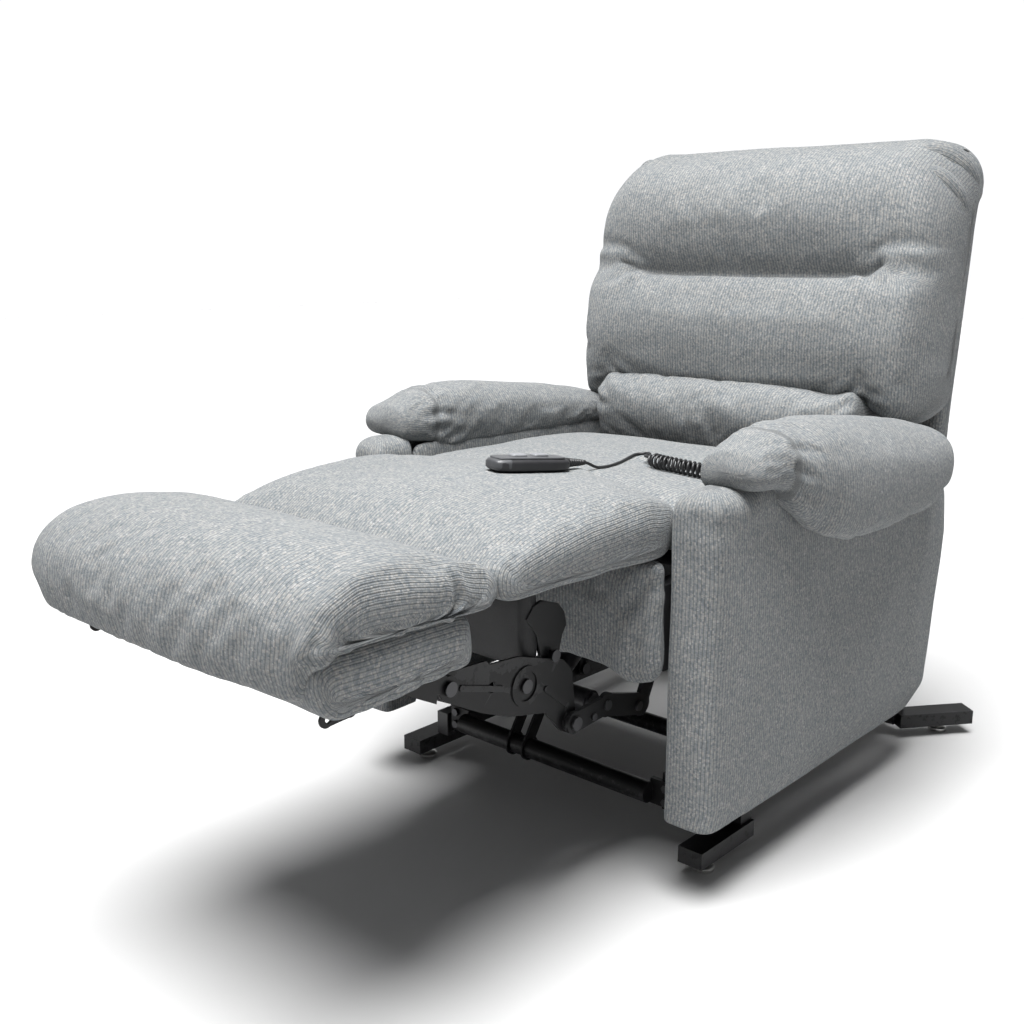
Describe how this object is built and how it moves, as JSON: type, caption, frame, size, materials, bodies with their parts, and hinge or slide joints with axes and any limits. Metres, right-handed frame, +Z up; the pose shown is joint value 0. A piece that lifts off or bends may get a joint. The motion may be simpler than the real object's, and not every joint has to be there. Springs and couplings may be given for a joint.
{
  "type": "lift recliner chair",
  "caption": "Powered lift recliner with a three-roll back, pillow arms, padded chaise leg rest, steel lift base and a wired two-button handset.",
  "frame": {"origin": "on the floor under the middle of the chair's overall box", "axes": "+Z up, the sitter faces -Y, +X is the sitter's left"},
  "size_m": [0.824, 1.4602, 1.05],
  "materials": {
    "black_steel": "satin black powder coat",
    "zinc": "zinc plated",
    "chrome": "bright",
    "upholstery": "ribbed tweed, grey",
    "timber": "raw softwood",
    "black_plastic": "fine texture",
    "grey_plastic": "fine texture",
    "dust_cloth": "black spun cloth over padding",
    "cord_rubber": "satin",
    "spring_steel": "oiled"
  },
  "bodies": {
    "base": {"base_side_rails": "black_steel", "base_end_plugs": "black_plastic", "base_front_tube": "black_steel", "base_rear_tube": "black_steel", "front_foot_arms": "black_steel", "rear_foot_arms": "black_steel", "levelling_feet": "chrome", "lock_nuts": "zinc", "lift_pivot_brackets": "black_steel", "base_bolts": "zinc", "base_pivot_pins": "zinc", "lift_motor_bracket": "black_steel", "power_box": "black_plastic", "power_inlet": "grey_plastic"},
    "lift_links": {"lift_link_arms": "black_steel", "lift_torque_tube": "black_steel"},
    "rear_links": {"rear_link_arms": "black_steel"},
    "lift_motor": {"lift_motor": "black_plastic"},
    "lift_rod": {"lift_rod": "zinc"},
    "chassis": {"chassis_plates": "black_steel", "chassis_cross_members": "black_steel", "chassis_hangers": "black_steel", "chassis_pins": "zinc", "seat_box": "timber", "seat_front_rail": "upholstery", "seat_springs": "spring_steel", "seat_cushion": "upholstery", "leg_pad_rear": "upholstery", "arm_posts": "upholstery", "side_panels": "upholstery", "arm_inner_panels": "upholstery", "arm_rails": "timber", "arm_pillows": "upholstery", "leg_motor": "black_plastic", "handset_shell": "black_plastic", "handset_face": "grey_plastic", "handset_cord": "cord_rubber", "handset_coil": "cord_rubber", "cord_gland": "black_plastic"},
    "leg_rod": {"leg_rod": "zinc"},
    "leg_links": {"leg_torque_tube": "black_steel", "leg_link_arms": "black_steel", "leg_link_caps": "zinc"},
    "leg_couplers": {"leg_couplers": "black_steel", "coupler_pins": "zinc"},
    "mid_ottoman": {"mid_ottoman_board": "dust_cloth", "mid_ottoman_brackets": "black_steel"},
    "leg_rest": {"leg_pad_front": "upholstery", "foot_pad": "upholstery", "ottoman_board": "upholstery", "ottoman_brackets": "black_steel", "ottoman_front_brackets": "black_steel"},
    "back": {"back_frame": "timber", "back_hinges": "black_steel", "outer_back_panel": "upholstery", "lumbar_cushion": "upholstery", "mid_back_cushion": "upholstery", "head_cushion": "upholstery"},
    "button_up": {"handset_button_up": "grey_plastic"},
    "button_down": {"handset_button_down": "grey_plastic"}
  },
  "joints": [
    {"name": "lift", "type": "hinge", "parent": "base", "child": "lift_links", "pos_m": [0, 0.02, 0.105], "axis": [1, 0, 0], "range_deg": [0, 60]},
    {"name": "seat_tilt", "type": "hinge", "parent": "lift_links", "child": "chassis", "pos_m": [0, 0.27, 0.105], "axis": [1, 0, 0], "range_deg": [-35, 0]},
    {"name": "rear_link", "type": "hinge", "parent": "base", "child": "rear_links", "pos_m": [0, 0.08, 0.125], "axis": [1, 0, 0], "range_deg": [0, 51]},
    {"name": "lift_motor_swing", "type": "hinge", "parent": "base", "child": "lift_motor", "pos_m": [-0.06, -0.012, 0.15], "axis": [1, 0, 0], "range_deg": [0, 53]},
    {"name": "lift_rod_stroke", "type": "slide", "parent": "lift_motor", "child": "lift_rod", "axis": [0, 0.8226, 0.5686], "range_m": [0, 0.0575]},
    {"name": "leg_rest_fold", "type": "hinge", "parent": "chassis", "child": "leg_rest", "pos_m": [0, -0.24, 0.555], "axis": [1, 0, 0], "range_deg": [0, 88]},
    {"name": "leg_link", "type": "hinge", "parent": "chassis", "child": "leg_links", "pos_m": [0, -0.016, 0.444], "axis": [1, 0, 0], "range_deg": [0, 88]},
    {"name": "coupler", "type": "hinge", "parent": "leg_links", "child": "leg_couplers", "pos_m": [0, -0.256, 0.275], "axis": [1, 0, 0], "range_deg": [-88, 0]},
    {"name": "mid_ottoman_flip", "type": "hinge", "parent": "leg_couplers", "child": "mid_ottoman", "pos_m": [0, -0.285, 0.372], "axis": [1, 0, 0], "range_deg": [0, 71]},
    {"name": "leg_rod_stroke", "type": "slide", "parent": "chassis", "child": "leg_rod", "axis": [0, 1, 0], "range_m": [0, 0.0835]},
    {"name": "recline", "type": "hinge", "parent": "chassis", "child": "back", "pos_m": [0, 0.505, 0.4], "axis": [-1, 0, 0], "range_deg": [-8, 26]},
    {"name": "press_up", "type": "slide", "parent": "chassis", "child": "button_up", "axis": [-0.0226, -0.0842, -0.9962], "range_m": [0, 0.0012], "stiffness_N_per_m": 900, "springref_m": -0.0015},
    {"name": "press_down", "type": "slide", "parent": "chassis", "child": "button_down", "axis": [-0.0226, -0.0842, -0.9962], "range_m": [0, 0.0012], "stiffness_N_per_m": 900, "springref_m": -0.0015}
  ],
  "couplings": [
    {"joint": "seat_tilt", "follows": "lift", "ratio": -0.58333},
    {"joint": "rear_link", "follows": "lift", "ratio": 0.8433},
    {"joint": "lift_motor_swing", "follows": "lift", "ratio": 0.87579},
    {"joint": "lift_rod_stroke", "follows": "lift", "m_per_rad": 0.054767},
    {"joint": "leg_link", "follows": "leg_rest_fold", "ratio": 1},
    {"joint": "coupler", "follows": "leg_rest_fold", "ratio": -1},
    {"joint": "mid_ottoman_flip", "follows": "leg_rest_fold", "ratio": 0.8},
    {"joint": "leg_rod_stroke", "follows": "leg_rest_fold", "m_per_rad": 0.054274}
  ]
}
